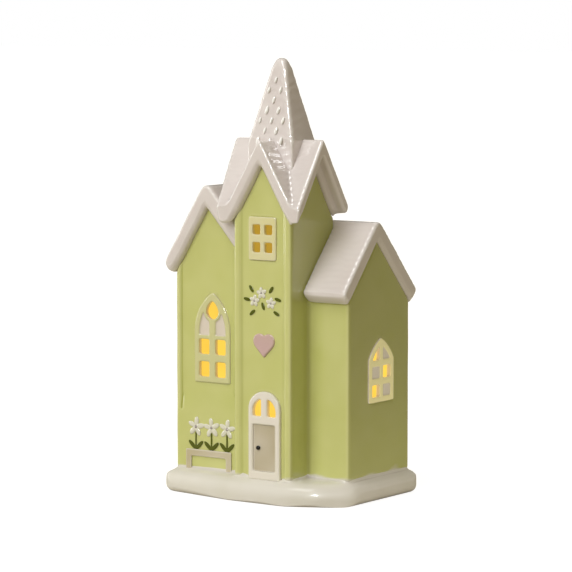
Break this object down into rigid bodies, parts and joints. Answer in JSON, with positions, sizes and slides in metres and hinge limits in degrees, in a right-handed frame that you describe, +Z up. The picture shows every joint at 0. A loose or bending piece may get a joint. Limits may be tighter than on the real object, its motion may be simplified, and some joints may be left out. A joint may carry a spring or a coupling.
{
  "type": "ceramic village house",
  "caption": "Glazed ceramic light-up village house: hollow green walls with pierced windows, white gabled roofs, a spire and a white base, with a battery lamp unit that pulls out underneath.",
  "frame": {"origin": "under the middle of the base, on the surface that it stands on", "axes": "+Z up, the door's side faces -Y, +X to the right as seen from the front"},
  "size_m": [0.13, 0.0996, 0.26],
  "materials": {
    "green_glaze": "pastel green gloss glaze",
    "white_glaze": "snow-white gloss glaze",
    "cream_glaze": "cream gloss glaze",
    "greige_glaze": "grey-beige gloss glaze",
    "black_glaze": "black gloss glaze",
    "pink_glaze": "pale pink gloss glaze",
    "petal_glaze": "off-white gloss glaze",
    "grey_glaze": "warm grey gloss glaze",
    "leaf_glaze": "olive green gloss glaze",
    "taupe_glaze": "taupe gloss glaze",
    "silicone": "soft translucent white silicone",
    "white_plastic": "moulded white plastic",
    "black_plastic": "moulded black plastic",
    "frosted_plastic": "frosted plastic, lit warm white",
    "led_lens": "clear warm-white lens, lit",
    "board": "white solder-mask circuit board",
    "lead_cover": "red insulated wire",
    "cell_can": null,
    "contact_plate": "nickel-plated spring steel",
    "steel": "zinc-plated steel"
  },
  "bodies": {
    "house": {"wall_shell": "green_glaze", "snow_base": "white_glaze", "wing_roof": "white_glaze", "nave_roof": "white_glaze", "tower_roof": "white_glaze", "spire": "white_glaze", "wing_window": "cream_glaze", "tower_window": "cream_glaze", "nave_window": "cream_glaze", "door_surround": "cream_glaze", "door_leaf": "greige_glaze", "door_knob": "black_glaze", "heart": "pink_glaze", "spray_flowers": "petal_glaze", "spray_centres": "grey_glaze", "spray_leaves": "leaf_glaze", "planter": "taupe_glaze", "daisy_heads": "petal_glaze", "daisy_centres": "grey_glaze", "daisy_stems": "leaf_glaze", "mounting_sleeve": "silicone"},
    "lamp_unit": {"lamp_housing": "white_plastic", "cell_front": "cell_can", "cell_rear": "cell_can", "contact_positive": "contact_plate", "contact_negative": "contact_plate", "contact_bridge": "contact_plate", "switch_body": "black_plastic", "switch_leads": "lead_cover", "led_board": "board", "board_screws": "steel", "leds": "led_lens", "resistor": "black_plastic", "diffuser": "frosted_plastic"},
    "battery_door": {"battery_door": "white_plastic"},
    "door_screw": {"door_screw": "steel"},
    "switch_knob": {"switch_knob": "black_plastic"}
  },
  "joints": [
    {"name": "lamp_pull", "type": "slide", "parent": "house", "child": "lamp_unit", "axis": [0, 0, -1], "range_m": [0, 0.045]},
    {"name": "battery_door_hinge", "type": "hinge", "parent": "lamp_unit", "child": "battery_door", "pos_m": [0.003, -0.0078, 0.0006], "axis": [-1, 0, 0], "range_deg": [0, 60]},
    {"name": "door_screw_turn", "type": "hinge", "parent": "battery_door", "child": "door_screw", "pos_m": [0.003, 0.0222, 0.001], "axis": [0, 0, 1], "continuous": true},
    {"name": "switch_slide", "type": "slide", "parent": "lamp_unit", "child": "switch_knob", "axis": [1, 0, 0], "range_m": [0, 0.004]}
  ]
}
